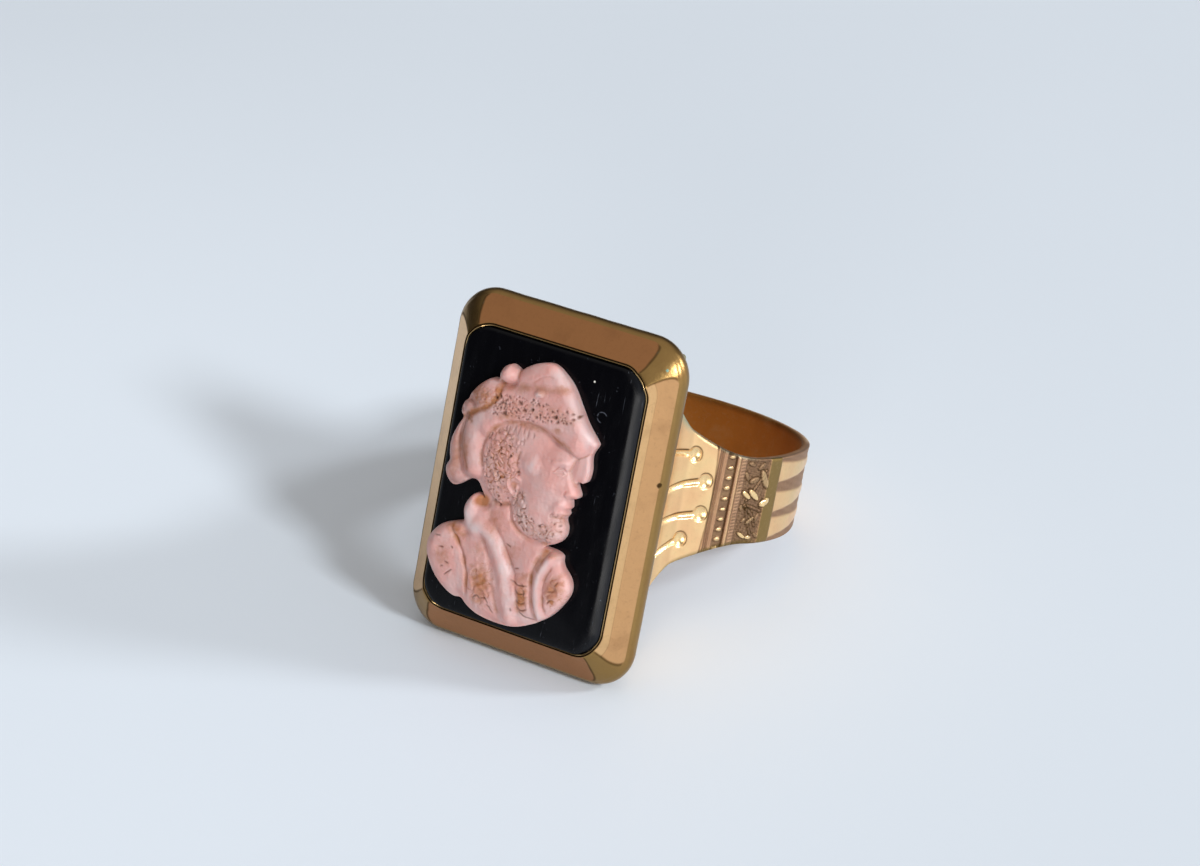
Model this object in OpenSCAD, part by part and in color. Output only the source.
// Finger ring: a flared band that carries an oblong black tablet with a carved bust.
// It is drawn standing up, with the finger hole along Y and the stone facing up,
// X across the bezel, and is then laid down on its lower edge, as it rests on a table.

/* [Finger hole and band] */
// Diameter of the finger hole
bore_d = 17.5; // [15:0.25:21]
// Thickness of the band's sheet
band_wall = 0.5; // [0.4:0.05:0.8]
// Width of the band at its back, opposite the bezel
band_back_w = 4.2; // [3:0.1:5]
// Width of the band at its sides
band_side_w = 5.3; // [4.4:0.1:6]
// Width of the shoulder where it turns up to the bezel
shoulder_w = 8.4; // [7:0.1:9.5]

/* [Bezel] */
// Width of the bezel's frame, across the finger
frame_w = 15.1; // [14:0.1:17]
// Height of the bezel's frame, along the finger
frame_h = 20.9; // [19:0.1:23]
// Outer corner radius of the frame
frame_corner = 2.4; // [1.8:0.1:3]
// Radius of the rounded rim around the frame
rim_r = 0.75; // [0.5:0.05:0.9]
// Height of the rim's middle above the middle of the finger hole
rim_z = 13.35; // [12.5:0.05:14.5]
// Slope of the flat polished borders, in degrees
facet_slope = 36; // [25:1:45]
// Thickness of the lip between the borders and the tablet
lip_t = 0.18; // [0.1:0.02:0.3]

/* [Tablet] */
// Width of the black tablet
tablet_w = 11.7; // [10.5:0.1:12]
// Height of the black tablet
tablet_h = 16.9; // [15.5:0.1:17.5]
// Thickness of the tablet
tablet_t = 3; // [2:0.1:3.4]
// Corner radius of the tablet
tablet_corner = 1.6; // [1:0.1:2]
// Width of the tablet's bevelled border
bevel_w = 0.85; // [0.4:0.05:1]
// Height of the tablet's bevelled border
bevel_h = 0.3; // [0.2:0.05:0.5]
// Height of the tablet's bevel foot above the lip
tablet_proud = 0.02; // [0:0.02:0.2]

/* [Bust] */
// Greatest height of the carving above the tablet
relief = 1.3; // [0.9:0.05:1.6]
// Gap left for the cement between separate pieces
seat_gap = 0.05; // [0.03:0.01:0.08]

/* [Ornament] */
// Beads in the row across each shoulder
beads = 9; // [5:2:9]
// Radius of a bead
bead_r = 0.24; // [0.15:0.01:0.28]
// Radius of the ball cutter at the end of each keyhole groove
key_r = 0.55; // [0.4:0.05:0.6]

/* [Hidden] */
$fn = 96;
eps = 0.01;

bore_r = bore_d/2;
band_r = bore_r + band_wall;

// The shoulder flares from flare_z up, and turns up to the bezel at turn_z. Each power
// says how suddenly the width changes.
flare_z = 3;
turn_z = 0.795*band_r;
turn_x = sqrt(band_r*band_r - turn_z*turn_z);
flare_power = 2.3;
taper_power = 1.5;

// Frame, tablet and seat
rim_x = frame_w/2 - rim_r;
rim_y = frame_h/2 - rim_r;
rim_u = frame_corner - rim_r;
rim_back = rim_z - rim_r;
corner_x = frame_w/2 - frame_corner;
corner_y = frame_h/2 - frame_corner;
facet_u = rim_u + rim_r*sin(facet_slope);
facet_z = rim_z + rim_r*cos(facet_slope);
lip_u = tablet_w/2 + seat_gap + lip_t - corner_x;
lip_z = facet_z + (facet_u - lip_u)*tan(facet_slope);
core_r = 0.5;
face_z = lip_z + tablet_proud + bevel_h;
tablet_z = face_z - tablet_t;
seat_clear = 1;

// Cup between the shoulders and the frame. Each row is the part of the way up from
// turn_z to the frame, the part of the way out across, and the part of the way out along.
head_h = rim_back - turn_z;
CUP = [
    [0.00,  0.00, 0.00],
    [0.25, -0.15, 0.22],
    [0.50, -0.05, 0.45],
    [0.72,  0.25, 0.68],
    [0.88,  0.60, 0.87],
    [1.00,  0.97, 0.99]
];
cup_x = [for (row = CUP) [turn_x + (rim_x - turn_x)*row[1], turn_z + head_h*row[0]]];
cup_y = [for (row = CUP) [shoulder_w/2 + (rim_y - shoulder_w/2)*row[2], turn_z + head_h*row[0]]];

// Ornament places, as angles round the band from its back
bead_angle = 125;
bead_pitch = 0.62;
turn_angle = 180 - asin(turn_x/band_r);
groove_w = 0.42;
groove_depth = 0.2;
groove_steps = 4;
// How far the groove's cutter reaches out of the metal
groove_out = 0.4;
// How far the ball cutter's middle stands off the band
key_rise = 0.2;
// Keyhole grooves on one shoulder: angle of the ball cut, and place along the finger
KEYS = [
    [140,  2.75],
    [134,  1.1],
    [134, -0.9],
    [140, -2.6]
];

// Masses of the bust: name, place across and along, half sizes across and along, turn,
// and height above the tablet
MASSES = [
    ["crown",          -0.2,  5.2, 2.9, 2.35,   -6, 1.15],
    ["crown top",       0.5,  6.1, 1.9, 1.60,  -30, 1.05],
    ["cap band",       -0.5,  4.1, 3.5, 1.15,    0, 1.25],
    ["bobble",         -2.1,  6.3, 0.7, 0.65,    0, 0.95],
    ["upper plume",    -3.6,  4.4, 1.25, 1.50, -25, 1.05],
    ["middle plume",   -4.1,  2.5, 1.3, 1.90,   -8, 1.05],
    ["lower plume",    -4.4,  0.5, 0.85, 1.40,  15, 0.90],
    ["hair",           -1.3,  1.6, 2.4, 2.90,    5, 1.25],
    ["brow and cheek",  1.0,  1.6, 1.8, 2.50,    0, 1.20],
    ["beard",           0.8, -1.1, 1.6, 1.55,  -15, 1.15],
    ["neck",           -1.0, -2.2, 1.9, 2.20,   12, 1.00],
    ["collar",         -2.7, -2.2, 1.1, 1.30,   15, 1.05],
    ["left sleeve",    -4.1, -5.1, 1.65, 2.35,  15, 1.10],
    ["right sleeve",    2.3, -5.1, 1.45, 1.95, -12, 1.10],
    ["chest",          -1.0, -5.0, 3.0, 3.10,    0, 1.30],
    ["lower edge",     -0.6, -6.3, 3.1, 1.90,    0, 1.00],
    ["throat cloth",    1.5, -3.6, 1.6, 1.00,  -15, 0.95]
];
// Forms stretched between round places. Each row is a place across and along, half sizes
// across and along, and height above the tablet.
PEAK = [
    [1.5,  5.0,  1.5,  1.4, 0.95],
    [3.45, 3.95, 0.35, 0.3, 0.55],
    [2.6,  3.3,  0.4,  0.4, 0.55]
];
NOSE = [
    [2.3, 2.4, 0.3,  0.3, 0.80],
    [3.0, 1.3, 0.2,  0.2, 0.75],
    [2.3, 1.1, 0.35, 0.2, 0.90]
];
bust_ground = 0.4;
bust_closing = 0.6;
// Where the carving stands out furthest when the ring lies down
chest_y = -6.2;

// Resting pose: the ring lies on the frame's lower rim and on the back of the band,
// so it leans by the angle of the line that touches both.
rest_run = rim_z + band_r;
rest_rise = rim_y - band_back_w/2;
lean = atan2(rest_rise, rest_run) + asin(rim_r/norm([rest_run, rest_rise]));
turn = 90 - lean;
function laid_y(y, z) = y*cos(turn) - z*sin(turn);
function laid_z(y, z) = y*sin(turn) + z*cos(turn);
rest_lift = -laid_z(-band_back_w/2, -band_r);
back_reach = laid_y(band_back_w/2, -band_r);
front_reach = laid_y(chest_y, face_z + relief);
rest_shift = -(back_reach + front_reach)/2;

module lay_down() {
    translate([0, rest_shift, rest_lift]) rotate([turn, 0, 0]) children();
}

// Half the band's width at height z above the middle of the finger hole
function half_width(z) =
    z < 0 ? band_side_w/2 - (band_side_w - band_back_w)/2*pow(-z/band_r, taper_power)
          : band_side_w/2 + (z > flare_z ? (shoulder_w - band_side_w)/2
              *pow((z - flare_z)/(turn_z - flare_z), flare_power) : 0);

function mirrored(points) = concat(points, [for (i = [len(points)-1:-1:0]) [-points[i][0], points[i][1]]]);

// A rounded oblong, w by h, from z0 to z1
module oblong(w, h, r, z0, z1) {
    translate([0, 0, z0]) linear_extrude(z1 - z0) union() {
        square([w - 2*r, h], center = true);
        square([w, h - 2*r], center = true);
        for (x = [-1, 1], y = [-1, 1]) translate([x*(w/2 - r), y*(h/2 - r)]) circle(r);
    }
}

// An outline of Y against Z, drawn out across the ring
module side_block(outline, w) {
    rotate([90, 0, 90]) linear_extrude(w, center = true) polygon(outline);
}

// An outline of X against Z, drawn out along the finger
module front_block(outline, l) {
    rotate([90, 0, 0]) linear_extrude(l, center = true) polygon(outline);
}

// The side outline runs from the band's back up the flare to turn_z, then up the cup.
side_steps = 34;
side_outline = mirrored(concat(
    [for (i = [0:side_steps-1])
        let (z = -band_r + (turn_z + band_r)*i/side_steps) [half_width(z), z - (i == 0 ? eps : 0)]],
    cup_y));

// Band, shoulders and the filled cup above them, as one body
module shank() {
    intersection() {
        union() {
            rotate([90, 0, 0]) cylinder(r = band_r, h = frame_h, center = true);
            intersection() {
                front_block(mirrored(concat([[turn_x, 0]], cup_x)), frame_h);
                oblong(2*rim_x, 2*rim_y, rim_u, 0, rim_back);
            }
        }
        side_block(side_outline, 3*band_r);
    }
}

// Section of the frame's moulding: distance out from the corner's middle against height
module moulding() {
    translate([rim_u, rim_z]) circle(rim_r);
    polygon([[0, rim_back], [0, lip_z], [lip_u, lip_z], [facet_u, facet_z],
        [rim_u, rim_z], [rim_u, rim_back]]);
}

// The frame is a solid core with the moulding carried round it.
module frame() {
    oblong(2*corner_x + eps, 2*corner_y + eps, core_r, rim_back, lip_z);
    for (s = [0, 180]) rotate([0, 0, s]) {
        translate([corner_x, 0, 0]) rotate([90, 0, 0])
            linear_extrude(2*corner_y, center = true) moulding();
        translate([0, corner_y, 0]) rotate([90, 0, 90])
            linear_extrude(2*corner_x, center = true) moulding();
        translate([corner_x, corner_y, 0]) rotate_extrude(angle = 90) moulding();
        translate([-corner_x, corner_y, 0]) rotate([0, 0, 90]) rotate_extrude(angle = 90) moulding();
    }
}

// A place on the band's outside: angle from its back, and place along the finger
module on_band(angle, y) {
    rotate([0, -angle, 0]) translate([0, y, -band_r]) children();
}

module bead_row() {
    for (i = [0:beads-1])
        on_band(bead_angle, (i - (beads - 1)/2)*bead_pitch) sphere(bead_r, $fn = 24);
}

// Outline of X against Z of a groove that runs from a ball cut over the turn of the
// shoulder and up the cup's side
function groove_outline(angle) = concat(
    [for (a = [angle:(turn_angle - angle)/groove_steps:turn_angle + eps])
        [(band_r - groove_depth)*sin(a), -(band_r - groove_depth)*cos(a)]],
    [[cup_x[1][0] - groove_depth, cup_x[1][1]],
     [cup_x[1][0] + groove_out, cup_x[1][1]],
     [turn_x + groove_out, turn_z],
     [(band_r + groove_out)*sin(angle), -(band_r + groove_out)*cos(angle)]]);

module keyholes() {
    for (key = KEYS) {
        on_band(key[0], key[1]) translate([0, 0, -key_rise]) sphere(key_r, $fn = 32);
        translate([0, key[1], 0]) front_block(groove_outline(key[0]), groove_w);
    }
}

module metal_ring() {
    color("goldenrod") lay_down() difference() {
        union() {
            shank();
            frame();
            for (m = [0, 1]) mirror([m, 0, 0]) bead_row();
        }
        rotate([90, 0, 0]) cylinder(r = bore_r, h = 3*frame_h, center = true);
        oblong(tablet_w + 2*seat_gap, tablet_h + 2*seat_gap, tablet_corner + seat_gap,
            tablet_z - seat_gap, face_z + seat_clear);
        for (m = [0, 1]) mirror([m, 0, 0]) keyholes();
    }
}

// Outline of the tablet against height, bevelled at the top
function bevelled(half) = mirrored([
    [half, tablet_z], [half, face_z - bevel_h], [half - bevel_w, face_z]]);

module black_tablet() {
    color("black") lay_down() intersection() {
        oblong(tablet_w, tablet_h, tablet_corner, tablet_z, face_z);
        front_block(bevelled(tablet_w/2), tablet_h);
        side_block(bevelled(tablet_h/2), tablet_w);
    }
}

// Outline of one mass, and the dome on it
module mass_outline(row) {
    translate([row[1], row[2]]) rotate(row[5]) scale([row[3], row[4]]) circle(1, $fn = 32);
}

module mass_dome(row) {
    translate([row[1], row[2], 0]) rotate([0, 0, row[5]])
        hull() scale([row[3], row[4], row[6]]) sphere(1, $fn = 32);
}

// One form stretched between round places
module bridge(rows) {
    hull() for (row = rows)
        translate([row[0], row[1], 0]) scale([row[2], row[3], row[4]]) sphere(1, $fn = 20);
}

module coral_bust() {
    color("lightpink") lay_down() translate([0, 0, face_z + seat_gap]) intersection() {
        union() {
            linear_extrude(bust_ground) offset(r = -bust_closing) offset(r = bust_closing)
                for (row = MASSES) mass_outline(row);
            for (row = MASSES) mass_dome(row);
            bridge(PEAK);
            bridge(NOSE);
        }
        translate([-frame_w/2, -frame_h/2, 0]) cube([frame_w, frame_h, relief]);
    }
}

metal_ring();
black_tablet();
coral_bust();
